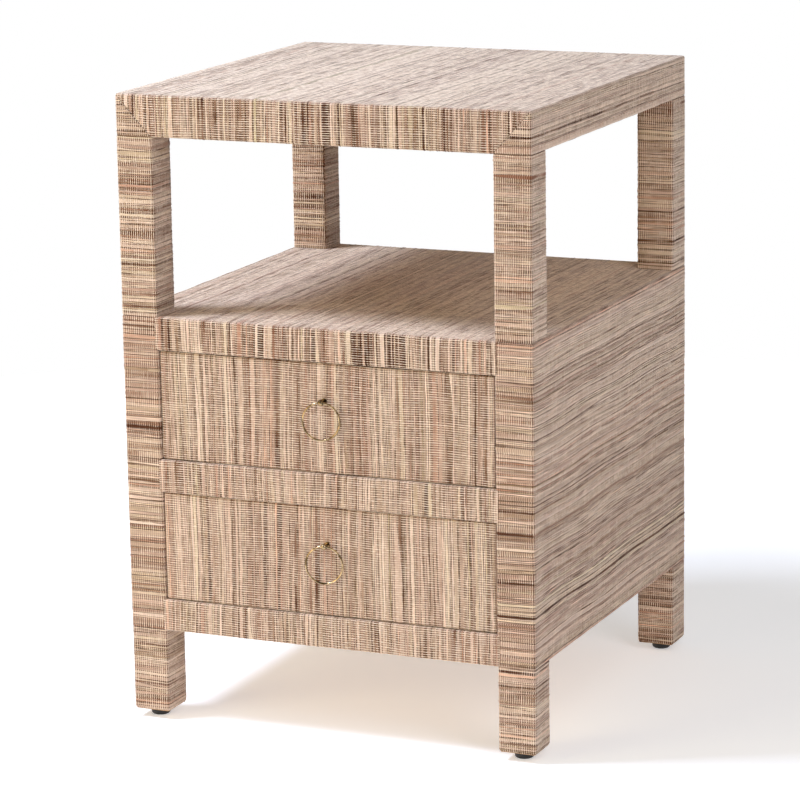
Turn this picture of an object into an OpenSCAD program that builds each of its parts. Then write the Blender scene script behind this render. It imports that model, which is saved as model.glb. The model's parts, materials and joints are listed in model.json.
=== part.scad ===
// Side table with two drawers under an open shelf.
// Every outer board is wrapped in a thin glued cloth of woven plant fibre.
// X runs to the right, Y to the back and Z up; the floor is at z = 0.

/* [Overall] */
// Width of the table over its cloth
table_w = 450; // [400:5:520]
// Depth of the table over its cloth
table_d = 450; // [400:5:520]
// Height of the table from the floor to the top
table_h = 655; // [620:5:720]
// Thickness of the glued cloth
cloth_t = 1.2; // [0.8:0.1:1.6]

/* [Frame] */
// Side of each square leg over its cloth
leg_side = 40; // [36:1:46]
// Radius on the long edges of the legs
leg_edge_r = 2.5; // [2:0.5:4]
// Height of the apron band, from its lower edge to the top
apron_h = 43; // [38:1:60]
// Thickness of the aprons and rails
rail_t = 18; // [15:1:20]
// Thickness of the top board
top_board_t = 15; // [12:1:18]
// Thickness of the panel that closes the apron band from below
ceiling_t = 3; // [3:0.5:5]

/* [Drawer box] */
// Height of the underside of the box above the floor
box_bottom = 97.5; // [80:0.5:110]
// Height of the rail under the lower drawer
bottom_rail_h = 33; // [28:0.5:36]
// Height of the rail between the drawers
middle_rail_h = 34; // [28:0.5:36]
// Height of the rail over the upper drawer, with the shelf
shelf_rail_h = 34.5; // [30:0.5:38]
// Height of each drawer opening
opening_h = 114.5; // [110:0.5:120]
// Thickness of the shelf board
shelf_board_t = 15; // [12:1:16]
// Thickness of the side panels
side_panel_t = 15; // [12:1:18]
// Thickness of the back panel
back_panel_t = 9; // [6:1:12]
// Thickness of the board that closes the box from below
bottom_board_t = 9; // [6:1:12]
// How far the cloth turns into the drawer openings
turn_in = 15; // [10:1:16]

/* [Drawers] */
// Gap beside each drawer front
side_gap = 1.3; // [0.8:0.1:2]
// Gap over and under each drawer front
level_gap = 1; // [0.8:0.1:2]
// How far each drawer front sits behind the face of the frame
front_recess = 1.5; // [0:0.5:3]
// Thickness of the board of each drawer front
front_board_t = 16; // [14:1:18]
// Thickness of the drawer sides and rear
drawer_wall_t = 12; // [10:1:13]
// Height of the drawer sides
drawer_side_h = 88; // [70:1:95]
// Thickness of the drawer bottom
drawer_bottom_t = 5; // [4:0.5:6]

/* [Runners] */
// Height of the wooden runners
runner_h = 12; // [10:1:14]
// Thickness of the wooden runners
runner_t = 7.5; // [7:0.1:8]
// Play between a runner and its groove, on each face
runner_play = 0.4; // [0.3:0.1:0.8]

/* [Ring pulls] */
// Outer diameter of each ring
ring_d = 40.6; // [38:0.2:46]
// Diameter of the ring wire
wire_d = 2.2; // [1.8:0.1:2.4]
// Angle by which each ring hangs turned to the right
ring_turn = 10; // [0:1:10]
// Distance from the drawer face to the middle of the eye
eye_reach = 8.5; // [8:0.5:14]
// Radius of the ball that forms the eye
eye_r = 3.4; // [3.4:0.1:4.5]
// Radius of the hole through the eye
eye_hole_r = 1.9; // [1.9:0.05:2.1]
// Distance from the top of the drawer opening down to the eye
eye_drop = 39.5; // [32:0.5:46]

/* [Feet] */
// Height of the plastic glides
glide_h = 9; // [5:0.5:12]
// Radius of the glides
glide_r = 10; // [8:0.5:13]

/* [Hidden] */

$fn = 48;

// The sides of the table: each sub-part that comes in pairs takes one of them.
LEFT = -1;
RIGHT = 1;
FRONT = -1;
REAR = 1;

// The pulls stand out in front, and the origin is under the middle of table and pulls together.
wire_r = wire_d / 2;
ring_r = (ring_d - wire_d) / 2;
pull_proud = eye_reach - front_recess + max(eye_r, ring_r * sin(ring_turn) + wire_r);
half_w = table_w / 2;
front_y = -(table_d - pull_proud) / 2;
back_y = front_y + table_d;
middle_y = front_y + table_d / 2;

// The boards end one cloth thickness inside the finished faces.
core_half_w = half_w - cloth_t;
core_front = front_y + cloth_t;
core_back = back_y - cloth_t;
leg_core = leg_side - 2 * cloth_t;
leg_in = half_w - leg_side;
leg_core_in = leg_in + cloth_t;
leg_core_reach = leg_side - cloth_t;

// Heights of the frame.
apron_bottom = table_h - apron_h;
top_board_under = table_h - cloth_t - top_board_t;
lower_opening = box_bottom + bottom_rail_h;
upper_opening = lower_opening + opening_h + middle_rail_h;
shelf_top = upper_opening + opening_h + shelf_rail_h;
shelf_board_top = shelf_top - cloth_t;
shelf_board_under = shelf_board_top - shelf_board_t;
bottom_board_z = box_bottom + 2;

// Drawers. Each drawer's own sizes are measured up from its opening.
drawer_face = front_y + front_recess;
front_board_y = drawer_face + cloth_t;
drawer_box_front = front_board_y + front_board_t;
stop_t = 14;
stop_gap = 0.8;
drawer_box_back = core_back - back_panel_t - stop_t - stop_gap;
drawer_half_w = leg_in - 1.5;
drawer_inner_half_w = drawer_half_w - drawer_wall_t;
drawer_side_z = 6;
drawer_bottom_z = 12;
drawer_bottom_groove = 4;
front_half_w = leg_in - side_gap;
front_low = level_gap;
front_high = opening_h - level_gap;

// Runners, and the grooves that they fill.
runner_z = 45;
runner_in = leg_core_in - runner_t;
runner_front = front_y + 22;
runner_back = core_back - back_panel_t - 4;
groove_in = runner_in - runner_play;

// Screws that hold the runners to the legs.
screw_r = 1.75;
screw_head_r = 3.5;
screw_head_h = 2;
screw_length = 25;
screw_play = 0.05;
screw_ys = [front_y + 30, back_y - 22];

// Pulls.
eye_y = drawer_face - eye_reach;
eye_z = opening_h - eye_drop;
shank_r = 2;
shank_play = 0.1;
collar_r = 3.2;
collar_t = 1.4;
neck_r = 1.7;
nut_r = 4;
nut_t = 3.2;
washer_r = 6;
washer_t = 1;

// Glides, with the nail that holds each one.
nail_r = 1.5;
nail_length = 16;
nail_play = 0.05;

// A block between its lowest and its highest corner.
module block(low, high) {
    translate(low) cube(high - low);
}

// A block whose two ends in X are at the same distance from the middle.
module middle_block(half_x, y_low, y_high, z_low, z_high) {
    block([-half_x, y_low, z_low], [half_x, y_high, z_high]);
}

// A block on one side, between two distances from the middle.
module side_block(side, x_near, x_far, y_low, y_high, z_low, z_high) {
    block([min(side * x_near, side * x_far), y_low, z_low],
          [max(side * x_near, side * x_far), y_high, z_high]);
}

// A rectangle about the origin with its corners rounded by arcs.
module rounded_rectangle(w, d, r) {
    square([w - 2 * r, d], center = true);
    square([w, d - 2 * r], center = true);
    for (x = [-1, 1], y = [-1, 1])
        translate([x * (w / 2 - r), y * (d / 2 - r)]) circle(r);
}

// Moves its children to the middle of one leg.
module at_leg(side, end) {
    translate([side * (half_w - leg_side / 2), middle_y + end * (table_d - leg_side) / 2, 0]) children();
}

// The four legs' outlines, as tall as they are asked for, grown by the cloth or not.
module leg_blocks(outline, z_low, z_high) {
    for (side = [LEFT, RIGHT], end = [FRONT, REAR])
        at_leg(side, end)
            block([-outline / 2, -outline / 2, z_low], [outline / 2, outline / 2, z_high]);
}

// A wood screw along +X with its countersunk head at the origin.
module screw(play) {
    rotate([0, 90, 0]) {
        cylinder(h = screw_head_h, r1 = screw_head_r + play, r2 = screw_r + play);
        cylinder(h = screw_length + play, r = screw_r + play);
    }
}

// The screws of the runners on one side, for both drawers.
module side_screws(side, play) {
    for (opening = [lower_opening, upper_opening], y = screw_ys)
        translate([side * runner_in, y, opening + runner_z])
            mirror([side == LEFT ? 1 : 0, 0, 0])
                screw(play);
}

// Frame: boards of the top.
module top_board() {
    color("tan")
        middle_block(core_half_w, core_front, core_back, top_board_under, table_h - cloth_t);
}

module cross_apron(y_low) {
    color("tan")
        middle_block(leg_core_in, y_low, y_low + rail_t, apron_bottom + cloth_t, top_board_under);
}

module side_apron(side) {
    color("tan")
        side_block(side, core_half_w - rail_t, core_half_w,
            front_y + leg_core_reach, back_y - leg_core_reach, apron_bottom + cloth_t, top_board_under);
}

module ceiling_panel() {
    color("burlywood")
        difference() {
            middle_block(core_half_w - rail_t, core_front + rail_t, core_back - rail_t,
                apron_bottom + cloth_t, apron_bottom + cloth_t + ceiling_t);
            leg_blocks(leg_core, apron_bottom, top_board_under);
        }
}

// Frame: legs, each with a nail hole below and screw holes where runners cross it.
module leg(side, end) {
    color("tan")
        difference() {
            at_leg(side, end)
                translate([0, 0, glide_h])
                    linear_extrude(top_board_under - glide_h)
                        rounded_rectangle(leg_core, leg_core, leg_edge_r - cloth_t);
            at_leg(side, end)
                translate([0, 0, glide_h - 1])
                    cylinder(h = nail_length + 1 + nail_play, r = nail_r + nail_play);
            side_screws(side, screw_play);
        }
}

// Drawer box: shelf, rails, panels and bottom.
module shelf_board() {
    color("tan")
        difference() {
            middle_block(core_half_w, core_front, core_back, shelf_board_under, shelf_board_top);
            leg_blocks(leg_core, shelf_board_under - 1, shelf_board_top + 1);
        }
}

module rail(z_low, z_high) {
    color("tan")
        middle_block(leg_core_in, core_front, core_front + rail_t, z_low, z_high);
}

module side_panel(side) {
    color("tan")
        side_block(side, core_half_w - side_panel_t, core_half_w,
            front_y + leg_core_reach, back_y - leg_core_reach, box_bottom, shelf_board_under);
}

module back_panel() {
    color("tan")
        middle_block(leg_core_in, core_back - back_panel_t, core_back, box_bottom, shelf_board_under);
}

module bottom_board() {
    color("burlywood")
        difference() {
            middle_block(core_half_w - side_panel_t, core_front + rail_t, core_back - back_panel_t,
                bottom_board_z, bottom_board_z + bottom_board_t);
            leg_blocks(leg_core, box_bottom, bottom_board_z + bottom_board_t + 1);
        }
}

// Runners, their screws and the stops behind the drawers.
module runner(side, opening) {
    color("peru")
        difference() {
            side_block(side, runner_in, leg_core_in, runner_front, runner_back,
                opening + runner_z - runner_h / 2, opening + runner_z + runner_h / 2);
            side_screws(side, screw_play);
        }
}

module runner_screws() {
    color("silver") {
        side_screws(LEFT, 0);
        side_screws(RIGHT, 0);
    }
}

module drawer_stops() {
    stop_side = 20;
    stop_x = 120;
    color("burlywood")
        for (opening = [lower_opening, upper_opening], side = [LEFT, RIGHT])
            side_block(side, stop_x, stop_x + stop_side,
                drawer_box_back + stop_gap, core_back - back_panel_t,
                opening + runner_z - stop_side / 2, opening + runner_z + stop_side / 2);
}

// Feet: a rounded plastic disc and its nail.
module glide() {
    rim_r = 3;
    rotate_extrude() {
        square([glide_r - rim_r, glide_h]);
        translate([0, rim_r]) square([glide_r, glide_h - rim_r]);
        translate([glide_r - rim_r, rim_r]) circle(rim_r);
    }
    translate([0, 0, glide_h - 1]) cylinder(h = nail_length + 1, r = nail_r);
}

module foot_glides() {
    color("dimgray")
        for (side = [LEFT, RIGHT], end = [FRONT, REAR])
            at_leg(side, end) glide();
}

// Cloth of the top: it lies on the board and folds down over the front and the back.
// Each fold is cut at 45 degrees to meet the cloth of the side aprons.
module fold_outline() {
    polygon([
        [-half_w, table_h], [half_w, table_h],
        [leg_in, apron_bottom], [-leg_in, apron_bottom]
    ]);
}

module fold_plate(y_low) {
    translate([0, y_low + cloth_t, 0])
        rotate([90, 0, 0])
            linear_extrude(cloth_t)
                fold_outline();
}

module top_cloth() {
    color("wheat") {
        middle_block(half_w, core_front, core_back, table_h - cloth_t, table_h);
        fold_plate(front_y);
        fold_plate(core_back);
        for (y_low = [core_front, core_back - rail_t])
            middle_block(leg_core_in, y_low, y_low + rail_t, apron_bottom, apron_bottom + cloth_t);
    }
}

// Cloth of a side apron: it wraps round both corners to meet the folds of the top.
module apron_cloth(side) {
    under_top = table_h - cloth_t;
    color("wheat")
        union() {
            side_block(side, core_half_w, half_w, core_front, core_back, apron_bottom, under_top);
            side_block(side, core_half_w - rail_t, core_half_w,
                front_y + leg_core_reach, back_y - leg_core_reach, apron_bottom, apron_bottom + cloth_t);
            for (y_low = [front_y, core_back])
                difference() {
                    side_block(side, leg_in, half_w, y_low, y_low + cloth_t, apron_bottom, under_top);
                    fold_plate(y_low);
                }
        }
}

// Cloth of a leg: a sleeve with rounded edges.
module leg_cloth(side, end, z_low, z_high) {
    color("wheat")
        at_leg(side, end)
            translate([0, 0, z_low])
                linear_extrude(z_high - z_low)
                    difference() {
                        rounded_rectangle(leg_side, leg_side, leg_edge_r);
                        rounded_rectangle(leg_core, leg_core, leg_edge_r - cloth_t);
                    }
}

module upper_leg_cloth(side, end) {
    leg_cloth(side, end, shelf_top, apron_bottom);
}

module lower_leg_cloth(side, end) {
    leg_cloth(side, end, glide_h, box_bottom);
}

// Cloth of the shelf: it folds down over the rail below and turns in under it.
module shelf_cloth() {
    upper_edge = upper_opening + opening_h;
    color("wheat")
        union() {
            difference() {
                middle_block(half_w, core_front, back_y, shelf_board_top, shelf_top);
                leg_blocks(leg_side, shelf_board_top - 1, shelf_top + 1);
            }
            middle_block(leg_in, front_y, core_front, upper_edge, shelf_top);
            middle_block(leg_in, core_front, front_y + turn_in, upper_edge, upper_edge + cloth_t);
        }
}

// Cloth of a rail: the face, turned in over and under it.
module rail_cloth(z_low, z_high) {
    color("wheat")
        difference() {
            middle_block(leg_in, front_y, front_y + turn_in, z_low, z_high);
            middle_block(half_w, core_front, back_y, z_low + cloth_t, z_high - cloth_t);
        }
}

// Cloth of a side of the box: it wraps round the front and the rear leg.
// In front it turns into the drawer openings, clear of the rails.
module side_cloth(side) {
    color("wheat")
        union() {
            translate([0, middle_y, box_bottom])
                linear_extrude(shelf_board_top - box_bottom)
                    intersection() {
                        difference() {
                            rounded_rectangle(table_w, table_d, leg_edge_r);
                            rounded_rectangle(table_w - 2 * cloth_t, table_d - 2 * cloth_t,
                                leg_edge_r - cloth_t);
                        }
                        translate([side * (leg_in + leg_side / 2), 0])
                            square([leg_side, table_d + 1], center = true);
                    }
            for (opening = [lower_opening, upper_opening])
                side_block(side, leg_in, leg_core_in, core_front, front_y + turn_in,
                    opening, opening + opening_h);
        }
}

module back_cloth() {
    color("wheat")
        middle_block(leg_in, core_back, back_y, box_bottom, shelf_board_top);
}

// Drawers: front with its cloth, two grooved sides, rear and bottom.
module pull_hole(opening) {
    translate([0, drawer_face - 1, opening + eye_z])
        rotate([-90, 0, 0])
            cylinder(h = front_board_t + cloth_t + 2, r = shank_r + shank_play);
}

module drawer_front(opening) {
    color("tan")
        difference() {
            middle_block(front_half_w - cloth_t, front_board_y, drawer_box_front,
                opening + front_low + cloth_t, opening + front_high - cloth_t);
            pull_hole(opening);
        }
}

module drawer_front_cloth(opening) {
    color("wheat")
        difference() {
            middle_block(front_half_w, drawer_face, drawer_face + turn_in,
                opening + front_low, opening + front_high);
            middle_block(front_half_w - cloth_t, front_board_y, drawer_box_front,
                opening + front_low + cloth_t, opening + front_high - cloth_t);
            pull_hole(opening);
        }
}

module drawer_side(side, opening) {
    z_low = opening + drawer_side_z;
    color("burlywood")
        difference() {
            side_block(side, drawer_inner_half_w, drawer_half_w, drawer_box_front, drawer_box_back,
                z_low, z_low + drawer_side_h);
            side_block(side, groove_in, half_w, drawer_box_front - 1, drawer_box_back + 1,
                opening + runner_z - runner_h / 2 - runner_play,
                opening + runner_z + runner_h / 2 + runner_play);
            side_block(side, 0, drawer_inner_half_w + drawer_bottom_groove,
                drawer_box_front - 1, drawer_box_back + 1,
                opening + drawer_bottom_z, opening + drawer_bottom_z + drawer_bottom_t);
        }
}

module drawer_rear(opening) {
    color("burlywood")
        middle_block(drawer_inner_half_w, drawer_box_back - drawer_wall_t, drawer_box_back,
            opening + drawer_bottom_z + drawer_bottom_t, opening + drawer_side_z + drawer_side_h);
}

module drawer_bottom(opening) {
    color("burlywood")
        middle_block(drawer_inner_half_w + drawer_bottom_groove, drawer_box_front, drawer_box_back,
            opening + drawer_bottom_z, opening + drawer_bottom_z + drawer_bottom_t);
}

// Pulls: a turned post whose ball is drilled through for the ring.
module post_outline(shank_length) {
    square([neck_r, eye_reach]);
    square([collar_r, collar_t]);
    translate([0, -shank_length]) square([shank_r, shank_length]);
    intersection() {
        translate([0, eye_reach]) circle(eye_r);
        square([eye_r, eye_reach + eye_r]);
    }
}

module pull_post(opening) {
    shank_length = drawer_box_front + washer_t + nut_t + 2 - drawer_face;
    color("gold")
        translate([0, drawer_face, opening + eye_z])
            difference() {
                rotate([90, 0, 0])
                    rotate_extrude()
                        post_outline(shank_length);
                translate([0, -eye_reach, 0])
                    rotate([0, 90, 0])
                        cylinder(h = 4 * eye_r, r = eye_hole_r, center = true);
            }
}

module pull_nut(opening) {
    color("silver")
        translate([0, drawer_box_front, opening + eye_z])
            rotate([-90, 0, 0])
                difference() {
                    union() {
                        cylinder(h = washer_t, r = washer_r);
                        cylinder(h = washer_t + nut_t, r = nut_r, $fn = 6);
                    }
                    translate([0, 0, -1])
                        cylinder(h = washer_t + nut_t + 2, r = shank_r + shank_play / 2);
                }
}

module pull_ring(opening) {
    color("gold")
        translate([0, eye_y, opening + eye_z - ring_r])
            rotate([90, 0, ring_turn])
                rotate_extrude($fn = 96)
                    translate([ring_r, 0]) circle(wire_r);
}

top_board();
cross_apron(core_front);  // front_apron
cross_apron(core_back - rail_t);  // rear_apron
side_apron(LEFT);  // left_apron
side_apron(RIGHT);  // right_apron
ceiling_panel();
leg(LEFT, FRONT);  // front_left_leg
leg(RIGHT, FRONT);  // front_right_leg
leg(LEFT, REAR);  // rear_left_leg
leg(RIGHT, REAR);  // rear_right_leg
shelf_board();
rail(upper_opening + opening_h + cloth_t, shelf_board_under);  // shelf_rail
rail(lower_opening + opening_h + cloth_t, upper_opening - cloth_t);  // middle_rail
rail(box_bottom + cloth_t, lower_opening - cloth_t);  // bottom_rail
side_panel(LEFT);  // left_side_panel
side_panel(RIGHT);  // right_side_panel
back_panel();
bottom_board();
runner(LEFT, upper_opening);  // upper_left_runner
runner(RIGHT, upper_opening);  // upper_right_runner
runner(LEFT, lower_opening);  // lower_left_runner
runner(RIGHT, lower_opening);  // lower_right_runner
runner_screws();
drawer_stops();
foot_glides();
top_cloth();
apron_cloth(LEFT);  // left_apron_cloth
apron_cloth(RIGHT);  // right_apron_cloth
upper_leg_cloth(LEFT, FRONT);  // front_left_upper_leg_cloth
upper_leg_cloth(RIGHT, FRONT);  // front_right_upper_leg_cloth
upper_leg_cloth(LEFT, REAR);  // rear_left_upper_leg_cloth
upper_leg_cloth(RIGHT, REAR);  // rear_right_upper_leg_cloth
lower_leg_cloth(LEFT, FRONT);  // front_left_lower_leg_cloth
lower_leg_cloth(RIGHT, FRONT);  // front_right_lower_leg_cloth
lower_leg_cloth(LEFT, REAR);  // rear_left_lower_leg_cloth
lower_leg_cloth(RIGHT, REAR);  // rear_right_lower_leg_cloth
shelf_cloth();
rail_cloth(lower_opening + opening_h, upper_opening);  // middle_rail_cloth
rail_cloth(box_bottom, lower_opening);  // bottom_rail_cloth
side_cloth(LEFT);  // left_side_cloth
side_cloth(RIGHT);  // right_side_cloth
back_cloth();
drawer_front(upper_opening);  // upper_drawer_front
drawer_front_cloth(upper_opening);  // upper_drawer_front_cloth
drawer_side(LEFT, upper_opening);  // upper_drawer_left_side
drawer_side(RIGHT, upper_opening);  // upper_drawer_right_side
drawer_rear(upper_opening);  // upper_drawer_rear
drawer_bottom(upper_opening);  // upper_drawer_bottom
pull_post(upper_opening);  // upper_pull_post
pull_nut(upper_opening);  // upper_pull_nut
pull_ring(upper_opening);  // upper_pull_ring
drawer_front(lower_opening);  // lower_drawer_front
drawer_front_cloth(lower_opening);  // lower_drawer_front_cloth
drawer_side(LEFT, lower_opening);  // lower_drawer_left_side
drawer_side(RIGHT, lower_opening);  // lower_drawer_right_side
drawer_rear(lower_opening);  // lower_drawer_rear
drawer_bottom(lower_opening);  // lower_drawer_bottom
pull_post(lower_opening);  // lower_pull_post
pull_nut(lower_opening);  // lower_pull_nut
pull_ring(lower_opening);  // lower_pull_ring
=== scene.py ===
"""Looks of a side table wrapped in woven plant fibre: two inset drawers under an open shelf.

Each cloth is one sheet of strips. The strips run along a folded path and lie side by side across it,
and thin threads cross them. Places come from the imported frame. The weave is worked out in millimetres.
"""
import json
import math

import bpy
import numpy as np
from mathutils import Matrix, Vector


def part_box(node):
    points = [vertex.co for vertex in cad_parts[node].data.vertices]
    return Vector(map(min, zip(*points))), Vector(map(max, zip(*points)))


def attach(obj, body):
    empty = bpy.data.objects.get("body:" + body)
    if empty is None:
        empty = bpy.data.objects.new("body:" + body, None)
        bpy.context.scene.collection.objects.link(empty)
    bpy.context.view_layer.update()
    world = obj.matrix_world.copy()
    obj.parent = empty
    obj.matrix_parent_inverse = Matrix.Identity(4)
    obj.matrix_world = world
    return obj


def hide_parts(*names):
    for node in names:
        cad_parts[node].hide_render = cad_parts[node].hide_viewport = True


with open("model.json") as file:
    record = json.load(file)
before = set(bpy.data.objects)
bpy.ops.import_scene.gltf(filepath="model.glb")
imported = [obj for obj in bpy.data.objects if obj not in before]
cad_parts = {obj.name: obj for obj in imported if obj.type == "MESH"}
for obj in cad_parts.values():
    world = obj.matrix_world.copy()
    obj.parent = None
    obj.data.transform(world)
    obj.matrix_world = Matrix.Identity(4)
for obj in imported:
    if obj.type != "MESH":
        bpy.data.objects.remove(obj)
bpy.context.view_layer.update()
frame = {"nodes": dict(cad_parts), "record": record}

MM = 0.001


def node_box(name):
    """Lowest and highest corner of a CAD node, in millimetres."""
    low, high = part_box(name)
    return np.array(low) / MM, np.array(high) / MM


# ---------------------------------------------------------------- sizes taken from the frame
top_low, top_high = node_box("top_cloth")
leg_low, leg_high = node_box("front_right_upper_leg_cloth")
apron_low, apron_high = node_box("front_apron")

HALF_W = top_high[0]
FRONT, BACK = top_low[1], top_high[1]
TOP = top_high[2]
APRON_BOTTOM = top_low[2]
APRON_T = apron_high[1] - apron_low[1]
SHELF_TOP = node_box("shelf_cloth")[1][2]
BOX_BOTTOM = node_box("right_side_cloth")[0][2]
FOOT = node_box("front_right_lower_leg_cloth")[0][2]
LEG_SIDE = leg_high[0] - leg_low[0]
LEG_IN = HALF_W - LEG_SIDE

# How far a cloth is turned in behind an edge, and how far a rail's cloth laps over the stiles.
TURN_IN = 14.0
LAP = 2.5

# ---------------------------------------------------------------- the camera
# Lens in millimetres, lengths in metres and angles in degrees.
LENS = 158.5
CAMERA_AIM = Vector((-0.0116, -0.0039, 0.3092))
CAMERA_DISTANCE = 3.727
CAMERA_AZIMUTH = 23.83
CAMERA_ELEVATION = 12.62
CAMERA_ROLL = -0.945
CLIP_START, CLIP_END = 0.05, 60.0


def direction(azimuth, elevation):
    """Unit vector from the object towards a viewer or lamp; azimuth 0 is in front, 90 to the right."""
    a, e = math.radians(azimuth), math.radians(elevation)
    return Vector((math.sin(a) * math.cos(e), -math.cos(a) * math.cos(e), math.sin(e)))


def make_camera():
    """The camera of the scene: a long lens, rolled a little."""
    data = bpy.data.cameras.new("camera")
    data.lens = LENS
    data.clip_start, data.clip_end = CLIP_START, CLIP_END
    camera = bpy.data.objects.new("camera", data)
    bpy.context.scene.collection.objects.link(camera)
    back = direction(CAMERA_AZIMUTH, CAMERA_ELEVATION)
    camera.location = CAMERA_AIM + back * CAMERA_DISTANCE
    rotation = (-back).to_track_quat("-Z", "Y").to_matrix()
    roll = math.radians(CAMERA_ROLL)
    camera.rotation_euler = (rotation @ Matrix.Rotation(roll, 3, "Z")).to_euler()
    bpy.context.scene.camera = camera


# ---------------------------------------------------------------- shader helpers
# Sockets of the mix node when it mixes colours.
MIX_FACTOR, MIX_A, MIX_B = 0, 6, 7
MIX_RESULT = 2


class Shader:
    """Builds one material's node tree; most methods return an output socket."""

    def __init__(self, name):
        self.material = bpy.data.materials.new(name)
        self.material.use_nodes = True
        self.tree = self.material.node_tree
        self.tree.nodes.clear()

    def node(self, kind, **settings):
        """Adds a node with these settings; unlike the rest it returns the node."""
        node = self.tree.nodes.new(kind)
        for key, value in settings.items():
            setattr(node, key, value)
        return node

    def feed(self, socket, value):
        """Links an output to a socket, or sets the socket to a plain value."""
        if isinstance(value, bpy.types.NodeSocket):
            self.tree.links.new(value, socket)
        else:
            socket.default_value = value

    def math(self, operation, *values, clamp=False):
        """One arithmetic step on numbers or outputs."""
        node = self.node("ShaderNodeMath", operation=operation, use_clamp=clamp)
        for socket, value in zip(node.inputs, values):
            self.feed(socket, value)
        return node.outputs[0]

    def vector(self, x=0.0, y=0.0, z=0.0):
        """A vector made of three numbers or outputs."""
        node = self.node("ShaderNodeCombineXYZ")
        for socket, value in zip(node.inputs, (x, y, z)):
            self.feed(socket, value)
        return node.outputs[0]

    def split(self, vector):
        """The three parts of a vector or colour."""
        node = self.node("ShaderNodeSeparateXYZ")
        self.feed(node.inputs[0], vector)
        return node.outputs

    def noise(self, vector, scale=1.0, detail=2.0, roughness=0.5):
        """Smooth noise, mostly from 0.3 to 0.7."""
        node = self.node("ShaderNodeTexNoise")
        self.feed(node.inputs["Vector"], vector)
        node.inputs["Scale"].default_value = scale
        node.inputs["Detail"].default_value = detail
        node.inputs["Roughness"].default_value = roughness
        return node.outputs["Fac"]

    def random(self, vector):
        """A value from 0 to 1 that differs for every vector."""
        node = self.node("ShaderNodeTexWhiteNoise")
        self.feed(node.inputs["Vector"], vector)
        return node.outputs["Value"]

    def between(self, value, low, high, to_low=0.0, to_high=1.0, smooth=True):
        """Maps value from low..high to to_low..to_high, clamped."""
        kind = "SMOOTHSTEP" if smooth else "LINEAR"
        node = self.node("ShaderNodeMapRange", interpolation_type=kind)
        for socket, v in zip(node.inputs, (value, low, high, to_low, to_high)):
            self.feed(socket, v)
        return node.outputs[0]

    def ramp(self, factor, stops):
        """A colour from stops of place and 0..255 colour."""
        node = self.node("ShaderNodeValToRGB")
        elements = node.color_ramp.elements
        while len(elements) < len(stops):
            elements.new(0.5)
        for element, (place, colour) in zip(elements, stops):
            element.position = place
            element.color = (*srgb(colour), 1.0)
        self.feed(node.inputs[0], factor)
        return node.outputs[0]

    def mix(self, factor, a, b, blend="MIX"):
        """Goes from one colour to another by a factor."""
        node = self.node("ShaderNodeMix", data_type="RGBA", blend_type=blend)
        node.clamp_factor = True
        self.feed(node.inputs[MIX_FACTOR], factor)
        self.feed(node.inputs[MIX_A], a)
        self.feed(node.inputs[MIX_B], b)
        return node.outputs[MIX_RESULT]

    def scaled(self, colour, factor):
        """A colour times a plain factor."""
        node = self.node("ShaderNodeVectorMath", operation="SCALE")
        self.feed(node.inputs[0], colour)
        self.feed(node.inputs["Scale"], factor)
        return node.outputs[0]

    def bump(self, height, distance, strength=1.0):
        """Normals of fine relief, with its distance in metres."""
        node = self.node("ShaderNodeBump")
        node.inputs["Distance"].default_value = distance
        node.inputs["Strength"].default_value = strength
        self.feed(node.inputs["Height"], height)
        return node.outputs[0]

    def finish(self, **inputs):
        """Adds the surface shader with the named inputs and returns the material."""
        shader = self.node("ShaderNodeBsdfPrincipled")
        output = self.node("ShaderNodeOutputMaterial")
        for name, value in inputs.items():
            self.feed(shader.inputs[name.replace("_", " ")], value)
        self.tree.links.new(shader.outputs[0], output.inputs[0])
        return self.material


def srgb(colour):
    """Linear values of a colour given as 0..255."""
    values = np.array(colour, float) / 255
    return tuple(np.where(values <= 0.04045, values / 12.92, ((values + 0.055) / 1.055) ** 2.4))


def colour4(colour):
    """Linear colour with alpha of a colour given as 0..255."""
    return (*srgb(colour), 1.0)


# ---------------------------------------------------------------- materials
# Colours of the plant fibre by tone, from the rare dark strips to the pale ones.
FIBRE_TONES = [
    (0.00, (84, 52, 36)),
    (0.08, (114, 79, 57)),
    (0.18, (147, 113, 90)),
    (0.34, (175, 143, 120)),
    (0.58, (196, 168, 146)),
    (0.80, (213, 188, 165)),
    (1.00, (228, 206, 184)),
]
# What a strip's hue multiplies its colour by, from a few reddish strips to a few greenish ones.
FIBRE_TINTS = [
    (0.00, (255, 228, 212)),
    (0.07, (255, 242, 233)),
    (0.30, (255, 247, 243)),
    (0.60, (255, 252, 240)),
    (0.85, (252, 252, 230)),
    (1.00, (242, 247, 214)),
]
THREAD = (238, 218, 194)
SOILED_THREAD = (196, 166, 138)
# The colour of the painted shade in a gap between strips, and what the painted shadow beside a thread
# multiplies the colour by.
GAP_SHADE = (84, 54, 35)
THREAD_SHADOW_TINT = (146, 120, 102)

# A strip's tone and hue times these give it a place of its own in the noises.
ROW_KEY = 97.0
COLUMN_KEY = 53.0
JOINT_KEY = 997.0

# Lengths along a strip, in millimetres: of the drifts in its tone, and from one joint to the next.
DRIFT_LENGTH = 36.0
STRIP_LENGTH = 130.0

# How far the tone may jump at a joint, and the tone that contrast doesn't change. A cloth's boldness
# runs from 0 to BOLDEST, and the contrast of its tones from FAINT to STRONG.
JOINT_JUMP = 0.22
MIDDLE_TONE = 0.58
BOLDEST = 2.0
FAINT, STRONG = 0.38, 1.52

# Widths in millimetres: of the narrow and wide gaps for a gap_width of 1, and of the painted highlight on
# the lip beside a gap.
NARROW_GAP, WIDE_GAP = 0.4, 1.25
LIP_HIGHLIGHT_WIDTH = 0.4

# How far a strip's painted thread shadows may stray along it, and where a shadow lies beside the middle of
# its thread.
SHADOW_STRAY = 0.35
SHADOW_AT = 0.60
SHADOW_CORE, SHADOW_RIM = 0.25, 0.75


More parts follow.
